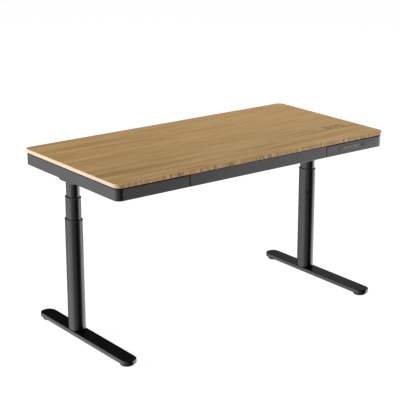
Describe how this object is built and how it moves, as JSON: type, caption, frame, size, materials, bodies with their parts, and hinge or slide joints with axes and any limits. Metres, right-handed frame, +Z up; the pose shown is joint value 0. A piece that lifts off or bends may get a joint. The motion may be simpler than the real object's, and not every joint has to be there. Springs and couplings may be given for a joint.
{
  "type": "height adjustable standing desk",
  "caption": "Electric standing desk: bamboo top on a slim black steel tray with a drawer and a touch panel, on two three-stage lifting columns with long flat feet.",
  "frame": {"origin": "on the floor, under the middle of the tabletop, midway between the feet", "axes": "+X to the right along the tabletop's width, +Y to the back, +Z up"},
  "size_m": [1.4, 0.7, 0.761],
  "materials": {
    "bamboo": "oiled bamboo, satin",
    "tray_paint": "black powder coat, satin",
    "column_paint": "black powder coat, satin",
    "foot_paint": "black powder coat, satin gloss",
    "black_plastic": "moulded, matt",
    "glide_plastic": "moulded, smooth",
    "panel_gloss": "gloss touch plate",
    "zinc": "zinc plated",
    "port_metal": "nickel plated",
    "board": "solder resist",
    "cable_jacket": "soft PVC",
    "nut_brass": "turned",
    "pad_rubber": "moulded rubber",
    "drawer_paint": "black powder coat, fine texture"
  },
  "bodies": {
    "left_base": {"foot_left": "foot_paint", "lower_column_left": "column_paint", "lower_collar_left": "black_plastic", "support_tube_left": "zinc", "lower_nut_left": "nut_brass", "foot_bolts_left": "zinc"},
    "left_middle": {"middle_column_left": "column_paint", "middle_collar_left": "black_plastic", "middle_glide_left": "glide_plastic", "guide_tube_left": "zinc"},
    "top": {"tabletop": "bamboo", "side_panel_left": "tray_paint", "side_panel_right": "tray_paint", "back_panel": "tray_paint", "tray_floor": "tray_paint", "front_beam": "tray_paint", "rear_beam": "tray_paint", "leg_bracket_left": "tray_paint", "leg_bracket_right": "tray_paint", "inner_column_left": "column_paint", "inner_column_right": "column_paint", "inner_glide_left": "glide_plastic", "inner_glide_right": "glide_plastic", "motor_left": "zinc", "motor_right": "zinc", "control_box": "black_plastic", "power_inlet": "black_plastic", "touch_panel": "panel_gloss", "usb_ports": "port_metal", "circuit_board": "board", "wiring": "cable_jacket", "drawer_rail_left": "tray_paint", "drawer_rail_right": "tray_paint", "slide_outer_left": "zinc", "slide_outer_right": "zinc", "frame_screws": "zinc"},
    "right_middle": {"middle_column_right": "column_paint", "middle_collar_right": "black_plastic", "middle_glide_right": "glide_plastic", "guide_tube_right": "zinc"},
    "right_base": {"foot_right": "foot_paint", "lower_column_right": "column_paint", "lower_collar_right": "black_plastic", "support_tube_right": "zinc", "lower_nut_right": "nut_brass", "foot_bolts_right": "zinc"},
    "drawer": {"drawer_front": "tray_paint", "drawer_box": "drawer_paint", "slide_inner_left": "zinc", "slide_inner_right": "zinc"},
    "left_slide_member": {"slide_middle_left": "zinc"},
    "right_slide_member": {"slide_middle_right": "zinc"},
    "left_drive_screw": {"drive_screw_left": "zinc"},
    "left_hollow_screw": {"hollow_screw_left": "zinc"},
    "front_left_leveller": {"leveller_front_left": "pad_rubber"},
    "back_left_leveller": {"leveller_back_left": "pad_rubber"},
    "right_drive_screw": {"drive_screw_right": "zinc"},
    "right_hollow_screw": {"hollow_screw_right": "zinc"},
    "front_right_leveller": {"leveller_front_right": "pad_rubber"},
    "back_right_leveller": {"leveller_back_right": "pad_rubber"}
  },
  "joints": [
    {"name": "lift", "type": "slide", "parent": "left_base", "child": "left_middle", "axis": [0, 0, 1], "range_m": [-0.06, 0.2445]},
    {"name": "left_upper_lift", "type": "slide", "parent": "left_middle", "child": "top", "axis": [0, 0, 1], "range_m": [-0.06, 0.2445]},
    {"name": "right_upper_lift", "type": "slide", "parent": "top", "child": "right_middle", "axis": [0, 0, -1], "range_m": [-0.06, 0.2445]},
    {"name": "right_lower_lift", "type": "slide", "parent": "right_middle", "child": "right_base", "axis": [0, 0, -1], "range_m": [-0.06, 0.2445]},
    {"name": "drawer_slide", "type": "slide", "parent": "top", "child": "drawer", "axis": [0, -1, 0], "range_m": [0, 0.3]},
    {"name": "left_slide_member_travel", "type": "slide", "parent": "top", "child": "left_slide_member", "axis": [0, -1, 0], "range_m": [0, 0.15]},
    {"name": "right_slide_member_travel", "type": "slide", "parent": "top", "child": "right_slide_member", "axis": [0, -1, 0], "range_m": [0, 0.15]},
    {"name": "left_drive_screw_turn", "type": "hinge", "parent": "top", "child": "left_drive_screw", "pos_m": [-0.636, 0.0735, 0.4], "axis": [0, 0, 1], "range_deg": [-4321, 17605]},
    {"name": "left_hollow_screw_turn", "type": "hinge", "parent": "left_middle", "child": "left_hollow_screw", "pos_m": [-0.636, 0.0735, 0.3], "axis": [0, 0, 1], "range_deg": [-2161, 8803]},
    {"name": "front_left_leveller_turn", "type": "hinge", "parent": "left_base", "child": "front_left_leveller", "pos_m": [-0.636, -0.2995, 0.02], "axis": [0, 0, 1], "continuous": true},
    {"name": "back_left_leveller_turn", "type": "hinge", "parent": "left_base", "child": "back_left_leveller", "pos_m": [-0.636, 0.2995, 0.02], "axis": [0, 0, 1], "continuous": true},
    {"name": "right_drive_screw_turn", "type": "hinge", "parent": "top", "child": "right_drive_screw", "pos_m": [0.636, 0.0735, 0.4], "axis": [0, 0, 1], "range_deg": [-4321, 17605]},
    {"name": "right_hollow_screw_turn", "type": "hinge", "parent": "right_middle", "child": "right_hollow_screw", "pos_m": [0.636, 0.0735, 0.3], "axis": [0, 0, 1], "range_deg": [-2161, 8803]},
    {"name": "front_right_leveller_turn", "type": "hinge", "parent": "right_base", "child": "front_right_leveller", "pos_m": [0.636, -0.2995, 0.02], "axis": [0, 0, 1], "continuous": true},
    {"name": "back_right_leveller_turn", "type": "hinge", "parent": "right_base", "child": "back_right_leveller", "pos_m": [0.636, 0.2995, 0.02], "axis": [0, 0, 1], "continuous": true}
  ],
  "couplings": [
    {"joint": "left_upper_lift", "follows": "lift", "ratio": 1},
    {"joint": "right_upper_lift", "follows": "lift", "ratio": 1},
    {"joint": "right_lower_lift", "follows": "lift", "ratio": 1},
    {"joint": "left_slide_member_travel", "follows": "drawer_slide", "ratio": 0.5},
    {"joint": "right_slide_member_travel", "follows": "drawer_slide", "ratio": 0.5},
    {"joint": "left_drive_screw_turn", "follows": "lift", "rad_per_m": 1256.6},
    {"joint": "left_hollow_screw_turn", "follows": "lift", "rad_per_m": 628.32},
    {"joint": "right_drive_screw_turn", "follows": "lift", "rad_per_m": 1256.6},
    {"joint": "right_hollow_screw_turn", "follows": "lift", "rad_per_m": 628.32}
  ]
}
